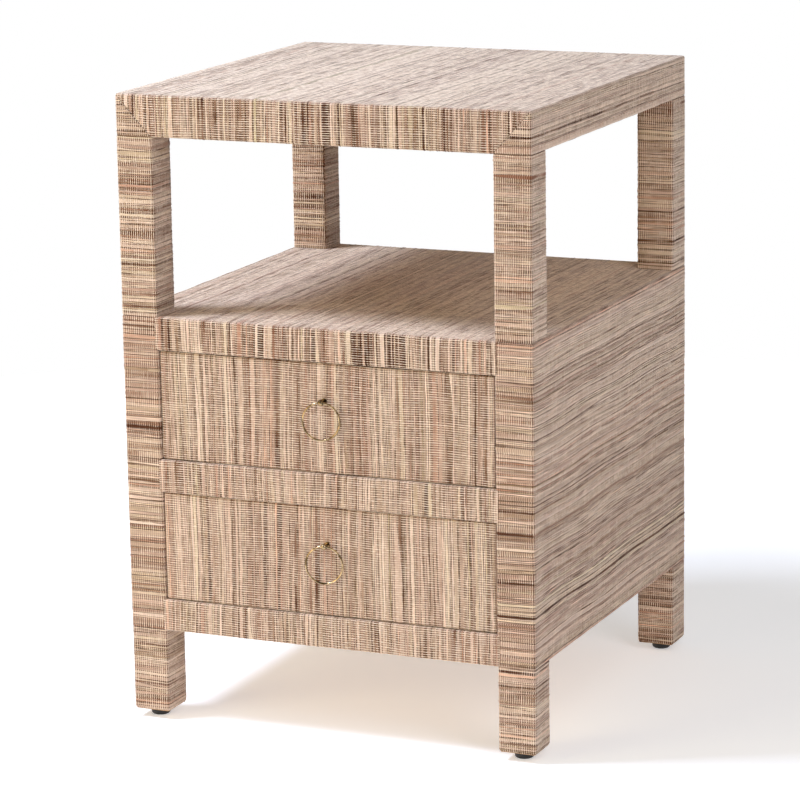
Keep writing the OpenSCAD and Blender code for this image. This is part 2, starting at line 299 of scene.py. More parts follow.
def strip_tone(s, along, tone, hue, bold, drifting):
    """Tone along a strip: it drifts, and now and then a new strip takes over with a tone of its own."""
    row = s.math("MULTIPLY", tone, ROW_KEY)
    column = s.math("MULTIPLY", hue, COLUMN_KEY)
    drift = s.noise(s.vector(s.math("DIVIDE", along, DRIFT_LENGTH), row, column), detail=3.0)
    own_start = s.math("ADD", along, s.math("MULTIPLY", hue, JOINT_KEY))
    joint = s.math("FLOOR", s.math("DIVIDE", own_start, STRIP_LENGTH))
    jump = s.random(s.vector(joint, row, 0.0))
    drifted = s.math("ADD", tone, s.math("MULTIPLY", s.math("SUBTRACT", drift, 0.5), drifting))
    shifted = s.math("ADD", drifted, s.math("MULTIPLY", s.math("SUBTRACT", jump, 0.5), JOINT_JUMP))
    spread = s.between(bold, 0.0, BOLDEST, FAINT, STRONG, smooth=False)
    return s.math("MULTIPLY_ADD", s.math("SUBTRACT", shifted, MIDDLE_TONE), spread, MIDDLE_TONE)


def gap_shade_and_lip_highlight(s, along, across, edge, bold, gap_width, gap_length, gap_share):
    """Painted shade in the gaps where two strips don't meet, and a painted highlight on the lips beside
    them, each from 0 to 1.
    """
    patch = s.noise(s.vector(s.math("DIVIDE", along, gap_length), s.math("MULTIPLY", across, 0.7), 3.0))
    width = s.between(patch, 0.35, 0.65, NARROW_GAP * gap_width, WIDE_GAP * gap_width)
    line = s.between(edge, s.math("MULTIPLY", width, 0.45), width, 1.0, 0.0)
    depth = s.between(patch, 0.32 - gap_share, 0.47 - gap_share, 0.25, 0.95)
    gap_shade = s.math("MULTIPLY", s.math("MULTIPLY", line, depth),
                 s.between(bold, 0.0, 0.5, 0.55, 1.0, smooth=False))
    beyond = s.between(edge, width, s.math("ADD", width, LIP_HIGHLIGHT_WIDTH), 1.0, 0.0)
    lip_highlight = s.math("MULTIPLY", s.math("SUBTRACT", beyond, line), s.between(patch, 0.40, 0.60, 0.0, 1.0))
    return gap_shade, lip_highlight


def pillows_and_thread_shadows(s, along, tone, hue, shifted, bold):
    """The strips between two threads as pillows, and a painted shadow on one side of each thread.

    The painted shadow is deeper on some strips than on others, on dark ones more than on pale ones.
    """
    row = s.math("MULTIPLY", tone, ROW_KEY)
    column = s.math("MULTIPLY", hue, COLUMN_KEY)
    offset = s.math("SUBTRACT", s.math("FRACT", s.math("DIVIDE", along, PITCH)), 0.5)
    stray = s.math("SUBTRACT", s.random(s.vector(row, column, 7.0)), 0.5)
    signed = s.math("MULTIPLY_ADD", offset, PITCH, s.math("MULTIPLY", stray, SHADOW_STRAY))
    pillow = s.between(s.math("ABSOLUTE", signed), 0.3, 1.0, 0.0, 1.0)
    away = s.math("ABSOLUTE", s.math("SUBTRACT", signed, SHADOW_AT))
    shadow = s.between(away, SHADOW_CORE, SHADOW_RIM, 1.0, 0.0)
    shadow_strength = s.between(s.random(s.vector(row, 1.0, 2.0)), 0.0, 1.0, 0.15, 1.05, smooth=False)
    shadow_strength = s.math("MULTIPLY", shadow_strength, s.between(bold, 0.0, BOLDEST, 0.15, 1.15, smooth=False))
    shadow_strength = s.math("MULTIPLY", shadow_strength, s.between(shifted, 0.40, 0.80, 1.15, 0.45))
    return pillow, s.math("MULTIPLY", shadow, shadow_strength, clamp=True)


def weave_material(name, gap_width=0.65, gap_length=20.0, gap_share=0.0, lip_highlight_gain=0.3, drifting=0.55):
    """Woven plant fibre with painted shade in its gaps and beside its threads, and painted highlights on
    its lips. The sheet's own coordinates, in millimetres, place the fibres and threads.
    """
    s = Shader(name)
    uv = s.node("ShaderNodeUVMap", uv_map="weave").outputs[0]
    along, across, _ = s.split(uv)
    strip = s.node("ShaderNodeAttribute", attribute_name="strip")
    tone, hue, bold = s.split(strip.outputs["Color"])
    edge = s.node("ShaderNodeAttribute", attribute_name="edge_mm").outputs["Fac"]

    shifted = strip_tone(s, along, tone, hue, bold, drifting)
    colour = s.ramp(shifted, FIBRE_TONES)
    colour = s.mix(1.0, colour, s.ramp(hue, FIBRE_TINTS), "MULTIPLY")

    # Streaks and fine fibres run along the strips.
    row = s.math("MULTIPLY", tone, ROW_KEY)
    streak = s.noise(s.vector(s.math("MULTIPLY", across, 0.8), s.math("MULTIPLY", along, 0.05), row),
                     detail=2.0)
    fibre = s.noise(s.vector(s.math("MULTIPLY", across, 2.6), s.math("MULTIPLY", along, 0.06), row),
                    detail=3.0, roughness=0.6)
    colour = s.scaled(colour, s.between(streak, 0.3, 0.7, 0.84, 1.10))
    colour = s.scaled(colour, s.between(fibre, 0.25, 0.75, 0.82, 1.12))

    # Painted light and shade: a highlight on the lip beside a gap, a shadow on one side of each thread,
    # and shade in a gap.
    gap_shade, lip_highlight = gap_shade_and_lip_highlight(s, along, across, edge, bold, gap_width, gap_length, gap_share)
    colour = s.scaled(colour, s.math("MULTIPLY_ADD", lip_highlight, lip_highlight_gain, 1.0))
    pillow, thread_shadow = pillows_and_thread_shadows(s, along, tone, hue, shifted, bold)
    colour = s.mix(thread_shadow, colour, s.mix(1.0, colour, colour4(THREAD_SHADOW_TINT), "MULTIPLY"))
    colour = s.mix(gap_shade, colour, colour4(GAP_SHADE))

    # Painted gap shade, painted thread shadows and dark strips don't shine.
    height = s.math("ADD", pillow, s.math("MULTIPLY", fibre, 0.5))
    shade = s.math("MAXIMUM", gap_shade, thread_shadow)
    gloss = s.math("MULTIPLY", s.math("SUBTRACT", 1.0, shade), s.between(shifted, 0.05, 0.45, 0.2, 1.0))
    return s.finish(Base_Color=colour, Roughness=s.between(fibre, 0.2, 0.8, 0.45, 0.62),
                    Normal=s.bump(height, 0.00025, 0.8), Specular_IOR_Level=s.math("MULTIPLY", gloss, 0.5),
                    Sheen_Weight=s.math("MULTIPLY", gloss, 0.25), Sheen_Roughness=0.5)


def thread_material():
    """Twisted cotton thread, a little soiled in places."""
    s = Shader("cotton_thread")
    along, across, _ = s.split(s.node("ShaderNodeUVMap", uv_map="weave").outputs[0])
    each = s.math("FLOOR", s.math("DIVIDE", along, PITCH))
    soil = s.noise(s.vector(each, s.math("MULTIPLY", across, 0.16), 5.0), detail=3.0)
    twist = s.math("FRACT", s.math("ADD", s.math("MULTIPLY", across, 1.1), s.math("MULTIPLY", along, 0.9)))
    twist = s.math("ABSOLUTE", s.math("SUBTRACT", twist, 0.5))
    colour = s.mix(s.between(soil, 0.40, 0.72), colour4(THREAD), colour4(SOILED_THREAD))
    colour = s.scaled(colour, s.between(twist, 0.0, 0.5, 0.93, 1.05))
    return s.finish(Base_Color=colour, Roughness=0.75, Normal=s.bump(twist, 0.00012, 0.6),
                    Specular_IOR_Level=0.3, Sheen_Weight=0.2)


def wood_material(name, pale, dark, grain):
    """Planed wood with its grain along the axis whose factor is smallest."""
    s = Shader(name)
    place = s.node("ShaderNodeTexCoord").outputs["Object"]
    stretch = s.node("ShaderNodeMapping")
    s.feed(stretch.inputs["Vector"], place)
    stretch.inputs["Scale"].default_value = grain
    rings = s.noise(stretch.outputs[0], scale=9.0, detail=5.0, roughness=0.6)
    pores = s.noise(stretch.outputs[0], scale=70.0, detail=3.0, roughness=0.7)
    lines = s.math("FRACT", s.math("MULTIPLY", rings, 7.0))
    mixed = s.math("ADD", s.math("MULTIPLY", lines, 0.65), s.math("MULTIPLY", pores, 0.35))
    colour = s.ramp(mixed, [(0.15, pale), (0.85, dark)])
    return s.finish(Base_Color=colour, Roughness=s.between(pores, 0.3, 0.7, 0.5, 0.65),
                    Normal=s.bump(pores, 0.0003, 0.4))


def board_material():
    """Raw fibreboard: fine brown flecks with no grain."""
    s = Shader("fibreboard")
    place = s.node("ShaderNodeTexCoord").outputs["Object"]
    fleck = s.noise(place, scale=900.0, detail=4.0, roughness=0.7)
    cloud = s.noise(place, scale=18.0, detail=2.0)
    mixed = s.math("ADD", s.math("MULTIPLY", fleck, 0.7), s.math("MULTIPLY", cloud, 0.3))
    colour = s.ramp(mixed, [(0.3, (150, 116, 82)), (0.7, (190, 154, 114))])
    return s.finish(Base_Color=colour, Roughness=0.85, Normal=s.bump(fleck, 0.0002, 0.5))


def metal_material(name, light, dark, roughness):
    """Metal with a fine uneven polish, darker in patches."""
    s = Shader(name)
    place = s.node("ShaderNodeTexCoord").outputs["Object"]
    cloud = s.noise(place, scale=120.0, detail=3.0)
    fine = s.noise(place, scale=1400.0, detail=2.0)
    colour = s.ramp(cloud, [(0.35, dark), (0.65, light)])
    return s.finish(Base_Color=colour, Metallic=1.0,
                    Roughness=s.between(cloud, 0.3, 0.7, roughness, roughness + 0.12),
                    Normal=s.bump(fine, 0.00005, 0.35))


def plastic_material():
    """Black moulded plastic with a fine matte grain."""
    s = Shader("glide_plastic")
    place = s.node("ShaderNodeTexCoord").outputs["Object"]
    grain = s.noise(place, scale=1800.0, detail=2.0)
    colour = s.ramp(grain, [(0.3, (14, 14, 15)), (0.7, (30, 30, 32))])
    return s.finish(Base_Color=colour, Roughness=s.between(grain, 0.3, 0.7, 0.42, 0.58),
                    Normal=s.bump(grain, 0.0001, 0.5))


# ---------------------------------------------------------------- paths that the strips follow
# Longest face along a path and along a profile, in millimetres, and the faces round each corner.
ROW_STEP = 9.0
PROFILE_STEP = 40.0
ARC_STEPS = 4


class Path:
    """A polyline with rounded corners, in millimetres; outward is to the right of its direction."""

    def __init__(self, points, radius, row_step=ROW_STEP):
        points = [np.array(p, float) for p in points]
        ways = [(b - a) / np.linalg.norm(b - a) for a, b in zip(points, points[1:])]
        rows = []
        self.corners = []
        start = points[0]
        for i, way in enumerate(ways):
            normal = np.array([way[1], -way[0]])
            stop = points[i + 1]
            if i + 1 < len(ways):
                angle = math.atan2(ways[i + 1] @ [-way[1], way[0]], ways[i + 1] @ way)
                stop = points[i + 1] - way * radius * math.tan(abs(angle) / 2)
            count = max(1, math.ceil(np.linalg.norm(stop - start) / row_step))
            rows += [(*(start + (stop - start) * k / count), *normal) for k in range(count)]
            if i + 1 < len(ways):
                bend = math.copysign(1, angle)
                middle = stop - bend * radius * normal
                for k in range(ARC_STEPS + 1):
                    turn = angle * k / ARC_STEPS
                    c, d = math.cos(turn), math.sin(turn)
                    n = np.array([c * normal[0] - d * normal[1], d * normal[0] + c * normal[1]])
                    rows.append((*(middle + bend * radius * n), *n))
                self.corners.append(len(rows) - 1 - ARC_STEPS // 2)
                start = np.array(rows.pop()[:2])
            else:
                rows.append((*stop, *normal))
        rows = np.array(rows)
        steps = np.linalg.norm(np.diff(rows[:, :2], axis=0), axis=1)
        self.at = np.concatenate([[0.0], np.cumsum(steps)])
        self.rows = rows
        self.length = self.at[-1]
        self.corners = [self.at[k] for k in self.corners]

    def sample(self, at):
        """Places and outward normals at lengths along the path: four arrays."""
        x, y, nx, ny = (np.interp(at, self.at, self.rows[:, k]) for k in range(4))
        size = np.hypot(nx, ny)
        return x, y, nx / size, ny / size


# ---------------------------------------------------------------- sheets of strips
# Columns of one strip: their place across it, their share of its height and how they lean.
FRACTIONS = np.array([0.0, 0.16, 0.5, 0.84])
CROWN = np.array([0.0, 0.75, 1.0, 0.75])
LEAN_SHAPE = np.array([0.0, 1.0, 0.0, -1.0])
LEAN = 0.42

# Heights over the board, in millimetres: between two strips, and of the cut edges tucked under.
VALLEY = -0.30
SKIRT = -1.1

# Average tone and hue of the strips.
MEAN_TONE = 0.56
MEAN_HUE = 0.36

# Strips: the spread of their widths, the narrowest and widest, how far they sway, the share that run
# out to a point, and how far their cut ends stay back, at least and by chance.
WIDTH_SPREAD = 0.38
NARROWEST, WIDEST = 0.9, 5.0
SWAY = 0.9
TAPER_SHARE = 0.5
INSET = 0.3
RAGGED = 0.45

# Faces whose doubled area, in square millimetres, is smaller than this are left out.
SMALLEST_FACE = 0.004

# Threads, in millimetres: from one to the next, their width, the drop from their ridge to their edges,
# how far they end before the strips do, the length of their faces, and the step used to find out
# where a cloth exists.
PITCH = 2.35
THREAD_WIDTH = 0.74
THREAD_DROP = 0.32
THREAD_END = 0.3
THREAD_STEP = 4.5
FINE_STEP = 0.25


def strip_widths(rng, length, mean):
    """Random strip widths that fill a length."""
    widths = []
    while sum(widths) < length:
        width = rng.lognormal(math.log(mean), WIDTH_SPREAD)
        widths.append(float(np.clip(width, NARROWEST, WIDEST)))
    return np.array(widths) * length / sum(widths)


def strip_borders(rng, widths, at):
    """Where each strip begins across the sheet, for each length along the path: one row per border.

    Neighbours sway together, each border wavers a little by itself, and some strips run out to a point.
    """
    count = len(widths)
    nominal = np.concatenate([[0.0], np.cumsum(widths)])[:, None]
    length = nominal[-1]
    common = np.zeros((count + 1, len(at)))
    for _ in range(3):
        long_wave, cross_wave = rng.uniform(180, 520), rng.uniform(140, 420)
        common += np.sin(2 * math.pi * (at[None, :] / long_wave + nominal / cross_wave + rng.random()))
    common *= SWAY / 1.7 * np.clip(np.minimum(nominal, length - nominal) / 25.0, 0, 1)
    own = np.zeros((count + 1, len(at)))
    narrow = np.minimum(widths[:-1], widths[1:])[:, None]
    own[1:-1] = 0.13 * narrow * waves(rng, count - 1, at, 45.0, 260.0)
    tapers = (rng.random(count - 1) < TAPER_SHARE) & (np.arange(count - 1) % 2 == 0)
    place = rng.uniform(at[0], max(at[-1], 1.0), (count - 1, 1))
    turn = np.where(rng.random((count - 1, 1)) < 0.5, -1.0, 1.0)
    fade = 1 / (1 + np.exp(-turn * (at[None, :] - place) / rng.uniform(5.0, 22.0, (count - 1, 1))))
    reach = np.where(rng.random((count - 1, 1)) < 0.5, -0.85 * widths[:-1, None], 0.85 * widths[1:, None])
    own[1:-1] += np.where(tapers[:, None], reach * fade, 0.0)
    borders = np.maximum.accumulate(nominal + common + own, axis=0)
    borders = np.clip(borders, 0.0, length)
    borders[0], borders[-1] = 0.0, length
    return borders


def neighbourly(rng, count):
    """Random values, one for each strip, that are alike among nine neighbours."""
    return np.convolve(rng.normal(size=count + 8), np.ones(9) / 3, mode="valid")


def strip_tones(rng, count, dark_share, contrast):
    """Tone and hue of each strip; neighbours are a little alike, and a few strips are dark."""
    walk = neighbourly(rng, count)
    tone = np.clip(MEAN_TONE + contrast * (0.35 * walk + rng.normal(size=count)), 0.12, 1.0)
    dark = rng.random(count) < dark_share
    tone[dark] = rng.uniform(0.0, 0.14, dark.sum())
    walk = neighbourly(rng, count)
    hue = np.clip(MEAN_HUE + 0.10 * walk + rng.normal(scale=0.20, size=count), 0, 1)
    return tone, hue


def waves(rng, count, at, shortest, longest):
    """A slow random wave along the path for each strip: count rows, one value for each place in at."""
    total = np.zeros((count, len(at)))
    for weight in (0.6, 0.5, 0.4):
        wavelength = rng.uniform(shortest, longest, (count, 1))
        phase = rng.uniform(0, 2 * math.pi, (count, 1))
        total += weight * np.sin(2 * math.pi * at[None, :] / wavelength + phase)
    return total


class Sheet:
    """The folded surface of one cloth, and where on it the weave exists.

    axes are the directions of the path's two coordinates and of the profile's first one. begin and end
    give, for each place across the sheet, where its strips start and stop along the path. keep says
    which places of the sheet exist.
    """

    def __init__(self, name, body, nodes, path, profile, axes, seed, begin=None, end=None, keep=None,
                 lift=0.0):
        self.name, self.body, self.nodes = name, body, nodes
        self.path, self.profile = path, profile
        self.axes = [np.array(a, float) for a in axes]
        self.flip = np.dot(np.cross(self.axes[0], self.axes[1]), self.axes[2]) < 0
        self.rng = np.random.default_rng(seed)
        self.begin, self.end, self.keep = begin, end, keep
        self.lift = lift
        self.phases = self.rng.random(4)

    def place(self, along, across, height):
        """Points of the sheet at a height over the board, in millimetres."""
        axis_a, axis_b, axis_w = self.axes
        px, py, nx, ny = self.path.sample(along)
        cross_x, cross_d, cross_nx, cross_nd = self.profile.sample(across)
        normal = nx[..., None] * axis_a + ny[..., None] * axis_b
        out = cross_nx[..., None] * axis_w - cross_nd[..., None] * normal
        return (px[..., None] * axis_a + py[..., None] * axis_b + cross_x[..., None] * axis_w
                - cross_d[..., None] * normal + height[..., None] * out)

    def limits(self, across):
        """Where the strips start and stop along the path, at places across the sheet."""
        x = self.profile.sample(across)[0]
        first = np.full(across.shape, self.path.at[0]) if self.begin is None else self.begin(x)
        last = np.full(across.shape, self.path.at[-1]) if self.end is None else self.end(x)
        return first, last

    def drift(self, along, across):
        """How far the threads stray from even spacing."""
        p = self.phases
        return (0.55 * np.sin(2 * math.pi * (across / 190.0 + along / 400.0 + p[0]))
                + 0.35 * np.sin(2 * math.pi * (across / 83.0 - along / 230.0 + p[1]))
                + 0.22 * np.sin(2 * math.pi * (along / 31.0 + p[2] + 0.1 * np.sin(across / 60.0))))


def make_strips(sheet, material, mean=1.95, hump=(0.25, 0.6), dark_share=0.04, contrast=0.2, bold=None):
    """The strips of a sheet as one folded mesh: four columns of faces on each strip.

    mean is their average width and hump the range of their heights, both in millimetres. dark_share is
    the share of very dark strips, and contrast how far the other tones spread. bold gives, for places
    along the path, how strongly the weave stands out there, from 0 to BOLDEST; without it, it is 1.
    """
    rng, path, profile = sheet.rng, sheet.path, sheet.profile

    # Rows along the path, with a spare row at each end for the sheet's cut edge.
    rows = np.concatenate([[path.at[0]], path.at, [path.at[-1]]])
    widths = strip_widths(rng, profile.length, mean)
    count = len(widths)
    borders = strip_borders(rng, widths, rows)
    local = np.diff(borders, axis=0)

    # Columns across the sheet: four for each strip, one at the far border, and a spare on each side.
    across = (borders[:-1, None, :] + FRACTIONS[None, :, None] * local[:, None, :]).reshape(-1, len(rows))
    across = np.vstack([across[:1], across, borders[-1:], borders[-1:]]).T
    owner = np.concatenate([[0], np.repeat(np.arange(count), 4), [count - 1, count - 1]])
    humps = rng.uniform(*hump, count)
    swell = 1 + 0.30 * waves(rng, count, rows, 30.0, 90.0)
    lean = CROWN[None, :] + rng.uniform(-LEAN, LEAN, (count, 1)) * LEAN_SHAPE[None, :]
    crown = (humps[:, None, None] * lean[:, :, None] * swell[:, None, :]).reshape(-1, len(rows))
    crown = np.vstack([crown[:1], crown, np.zeros((2, len(rows)))]).T
    height = sheet.lift + VALLEY + crown
    height[:, 0] = height[:, -1] = SKIRT

    # Each column is cut to its own length; past the cut, the edge drops to the board.
    first, last = sheet.limits(across)
    shorter = rng.uniform(INSET, INSET + RAGGED, count)[owner][None, :]
    longer = rng.uniform(INSET, INSET + RAGGED, count)[owner][None, :]
    first = np.clip(first + shorter, path.at[0], path.at[-1])
    last = np.clip(last - longer, path.at[0], path.at[-1])
    along = np.clip(rows[:, None], first, last)
    index = np.arange(len(rows))[:, None]
    before = (rows[:, None] <= first) & (index > 0)
    cut_first = np.where(before, index, 0).max(axis=0)
    after = (rows[:, None] >= last) & (index < len(rows) - 1)
    cut_last = np.where(after, index, len(rows)).min(axis=0)
    past = (index < cut_first) | (index > cut_last)
    points = sheet.place(along, across, np.where(past, SKIRT, height))

    tone, hue = strip_tones(rng, count, dark_share, contrast)
    edge = np.minimum(FRACTIONS, 1 - FRACTIONS)
    edge_mm = (edge[None, :, None] * local[:, None, :]).reshape(-1, len(rows))
    edge_mm = np.vstack([edge_mm[:1], edge_mm, np.zeros((2, len(rows)))]).T
    # Past the cut the edge counts as a gap, so the dropped edge gets the painted gap shade.
    edge_mm = np.where(past, 0.0, edge_mm)

    quads, columns = grid_quads(*across.shape)
    flat = points.reshape(-1, 3)
    area = np.linalg.norm(np.cross(flat[quads[:, 2]] - flat[quads[:, 0]],
                                   flat[quads[:, 3]] - flat[quads[:, 1]]), axis=1)
    good = area > SMALLEST_FACE
    if sheet.keep is not None:
        good &= sheet.keep(along.reshape(-1)[quads].mean(axis=1), across.reshape(-1)[quads].mean(axis=1))
    quads, columns = quads[good], columns[good]
    if sheet.flip:
        quads = quads[:, ::-1]
    uv = np.stack([along + sheet.drift(along, across), across], axis=-1).reshape(-1, 2)
    piece = mesh_object(f"{sheet.name}_weave", material, flat * MM, quads, uv)
    strength = np.ones(len(quads)) if bold is None else bold(along.reshape(-1)[quads].mean(axis=1))
    paint = np.stack([tone[owner[columns]], hue[owner[columns]], strength, np.ones(len(quads))], axis=1)
    strip = piece.data.attributes.new("strip", "FLOAT_COLOR", "CORNER")
    strip.data.foreach_set("color", np.repeat(paint, 4, axis=0).astype(np.float32).ravel())
    used = np.unique(quads)
    edge = piece.data.attributes.new("edge_mm", "FLOAT", "POINT")
    edge.data.foreach_set("value", edge_mm.reshape(-1)[used].astype(np.float32))
    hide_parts(*sheet.nodes)
    dress(piece, sheet.body)


def make_threads(sheet, material, level=0.34, keep=None):
    """The threads of a sheet: thin ridges that cross the strips and bridge the gaps between them.

    level is the height of their ridge over the board. keep, if given, stands in for the sheet's own.
    """
    rng, path, profile = sheet.rng, sheet.path, sheet.profile
    targets = (np.arange(int(path.length / PITCH)) + 0.5) * PITCH
    even = np.linspace(0.0, profile.length, max(2, round(profile.length / THREAD_STEP)) + 1)
    stops = np.unique(np.concatenate([even, profile.at]).round(2))
    stops = stops[np.concatenate([[True], np.diff(stops) > 0.25])]
    stops[-1] = profile.length

    # Each thread is cut to the part of the sheet that has strips under it.
    fine = np.linspace(0.0, profile.length, int(profile.length / FINE_STEP) + 1)
    first, last = sheet.limits(fine)
    centre = targets[:, None] - sheet.drift(targets[:, None], fine[None, :])
    there = (centre > first + THREAD_END) & (centre < last - THREAD_END)
    there &= (centre > path.at[0]) & (centre < path.at[-1])
    keep = keep or sheet.keep
    if keep is not None:
        there &= keep(centre, np.broadcast_to(fine, centre.shape))
    some = there.any(axis=1)
    targets, there, centre = targets[some], there[some], centre[some]
    low = fine[there.argmax(axis=1)]
    high = fine[len(fine) - 1 - there[:, ::-1].argmax(axis=1)]
    across = np.clip(stops[None, :], low[:, None], high[:, None])
    middle = targets[:, None] - sheet.drift(targets[:, None], across)
    cells = (across[:, :-1] + across[:, 1:]) / 2
    nearest = np.clip(np.rint(cells / fine[1]).astype(int), 0, len(fine) - 1)
    alive = np.take_along_axis(there, nearest, axis=1) & (np.diff(across, axis=1) > 0.05)

    count = len(targets)
    half = THREAD_WIDTH / 2 * rng.uniform(0.8, 1.15, (count, 1))
    rise = level + rng.normal(scale=0.04, size=(count, 1)) + 0.05 * waves(rng, count, stops, 20.0, 120.0)
    ribs = [(-half, rise - THREAD_DROP), (0 * half, rise), (half, rise - THREAD_DROP)]
    along = np.stack([np.clip(middle + side, path.at[0], path.at[-1]) for side, _ in ribs], axis=1)
    height = sheet.lift + np.stack([np.broadcast_to(h, across.shape) for _, h in ribs], axis=1)
    across3 = np.broadcast_to(across[:, None, :], along.shape)
    points = sheet.place(along, across3, height).reshape(-1, 3)
    ids = np.arange(along.size).reshape(along.shape)
    quads = np.stack([ids[:, :-1, :-1], ids[:, :-1, 1:], ids[:, 1:, 1:], ids[:, 1:, :-1]], axis=-1)
    quads = quads[np.broadcast_to(alive[:, None, :], quads.shape[:3])]
    if sheet.flip:
        quads = quads[:, ::-1]
    uv = np.stack([along, across3], axis=-1).reshape(-1, 2)
    piece = mesh_object(f"{sheet.name}_threads", material, points * MM, quads, uv)
    dress(piece, sheet.body)


def grid_quads(row_count, column_count):
    """Faces of a grid of points stored row by row, and the column of each face."""
    ids = np.arange(row_count * column_count).reshape(row_count, column_count)
    quads = np.stack([ids[:-1, :-1], ids[:-1, 1:], ids[1:, 1:], ids[1:, :-1]], axis=-1).reshape(-1, 4)
    return quads, np.tile(np.arange(column_count - 1), row_count - 1)


def mesh_object(name, material, points, quads, uv):
    """A smooth mesh object of four-sided faces, with the sheet's coordinates as its UV map."""
    used, inverse = np.unique(quads, return_inverse=True)
    corners = inverse.reshape(-1).astype(np.int32)
    mesh = bpy.data.meshes.new(name)
    mesh.vertices.add(len(used))
    mesh.vertices.foreach_set("co", points[used].astype(np.float32).ravel())
    mesh.loops.add(len(corners))
    mesh.loops.foreach_set("vertex_index", corners)
    mesh.polygons.add(len(quads))
    mesh.polygons.foreach_set("loop_start", np.arange(0, len(corners), 4, dtype=np.int32))
    mesh.polygons.foreach_set("use_smooth", np.ones(len(quads), bool))
    layer = mesh.uv_layers.new(name="weave")
    layer.uv.foreach_set("vector", uv[used][corners].astype(np.float32).ravel())
    mesh.materials.append(material)
    mesh.update(calc_edges=True)
    made = bpy.data.objects.new(name, mesh)
    bpy.context.scene.collection.objects.link(made)
    return made


def dress(piece, body):
    """Says which body a piece of cloth rides on."""
    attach(piece, body)


X, Y, Z = (1, 0, 0), (0, 1, 0), (0, 0, 1)
SIDES = {"left": -1, "right": 1}
ENDS = {"front": -1, "rear": 1}

# Radii of the folds, in millimetres.
TOP_R = 3.0
EDGE_R = 2.5
LEG_R = 2.8
FOOT_R = 3.2
BOARD_R = 2.2
SMALL_R = 2.0
FLAT_R = 1.0
# Share of the radius that is left at a fold beside an end, so that a short straight piece remains.
ALMOST = 0.999

# How far a rail's cloth stands proud of the front, the open seam of a leg's sleeve and half the width
# of the open line along a mitre, in millimetres.
RAIL_PROUD = 0.6
SEAM = 0.2
MITRE_GAP = 0.5

# How far the shelf's cloth hangs past its rail and is folded down at the back, and how far the back's
# cloth stays below the shelf, in millimetres.
SHELF_OVERHANG = 1.2
SHELF_FOLD = 3.0
BACK_GAP = 1.5

# How far past a fold counts as still on the face: for strips, and for threads and drawer openings.
STRIP_SLACK = 2.0
SLACK = 1.0


def outwards(side):
    """The direction away from the middle on one side."""
    return (side, 0, 0)


def rounded_ends(low, high, radius, low_end=True, high_end=True):
    """A profile from low to high that rounds down at its ends."""
    points = [(low, 0.0), (high, 0.0)]
    if low_end:
        points.insert(0, (low, radius))
    if high_end:
        points.append((high, radius))
    return Path(points, radius * ALMOST, row_step=PROFILE_STEP)


def flat_profile():
    """A flat profile from stile to stile, with a lap at each end."""
    return Path([(-LEG_IN - LAP, 0.0), (LEG_IN + LAP, 0.0)], FLAT_R, row_step=PROFILE_STEP)


def boldness(first, last, inside, outside):
    """How boldly the tones and the painted shade stand out, as light falls on a face: one value between
    two places along a path, another elsewhere.
    """
    def bold(along):
        return np.where((along > first) & (along < last), inside, outside)

    return bold


# ---------------------------------------------------------------- the cloths of the frame
def mitre_drop(x):
    """How far below the top the fold over the front reaches, at a distance x from the middle."""
    share = np.clip((HALF_W - np.abs(x)) / LEG_SIDE, 0, 1)
    return share * (TOP - APRON_BOTTOM) - MITRE_GAP


def top_sheet(looks):
    """Cloth over the top, down over the front and the back and in under both aprons."""
    path = Path([(BACK - APRON_T, APRON_BOTTOM), (BACK, APRON_BOTTOM), (BACK, TOP),
                 (FRONT, TOP), (FRONT, APRON_BOTTOM), (FRONT + APRON_T, APRON_BOTTOM)], TOP_R)
    profile = rounded_ends(-HALF_W, HALF_W, EDGE_R)
    _, rear_top, front_top, _ = path.corners

    def begin(x):
        return np.where(np.abs(x) > LEG_IN, rear_top - mitre_drop(x), path.at[0])

    def end(x):
        return np.where(np.abs(x) > LEG_IN, front_top + mitre_drop(x), path.at[-1])

    sheet = Sheet("top", "carcass", ["top_cloth"], path, profile, (Y, Z, X), 11, begin, end)
    make_strips(sheet, looks["weave"], dark_share=0.07, bold=boldness(rear_top, front_top, 0.0, 1.5))
    make_threads(sheet, looks["thread"], level=0.26)


def apron_sheet(looks, name, seed):
    """Cloth of one side apron; its ends come round the corners and stop at the mitres."""
    side = SIDES[name]
    path = Path([(LEG_IN, FRONT), (HALF_W, FRONT), (HALF_W, BACK), (LEG_IN, BACK)], TOP_R)
    profile = Path([(APRON_BOTTOM, APRON_T), (APRON_BOTTOM, 0.0), (TOP, 0.0), (TOP, EDGE_R)],
                   EDGE_R * ALMOST, row_step=PROFILE_STEP)
    front_corner, rear_corner = path.corners
    fold = profile.corners[0]

    def reach(z):
        return np.clip((TOP - z) / (TOP - APRON_BOTTOM), 0, 1) * LEG_SIDE - MITRE_GAP

    def begin(z):
        return front_corner - reach(z)

    def end(z):
        return rear_corner + reach(z)

    def keep(along, across):
        between_legs = (along > front_corner + LEG_SIDE) & (along < rear_corner - LEG_SIDE)
        return (across > fold - EDGE_R) | between_legs

    sheet = Sheet(f"{name}_apron", "carcass", [f"{name}_apron_cloth"], path, profile,
                  (outwards(side), Y, Z), seed, begin, end, keep)
    make_strips(sheet, looks["side"], mean=2.2, dark_share=0.01, contrast=0.13,
                bold=boldness(front_corner, rear_corner, 0.9, 1.7))
    make_threads(sheet, looks["thread"], level=0.24)


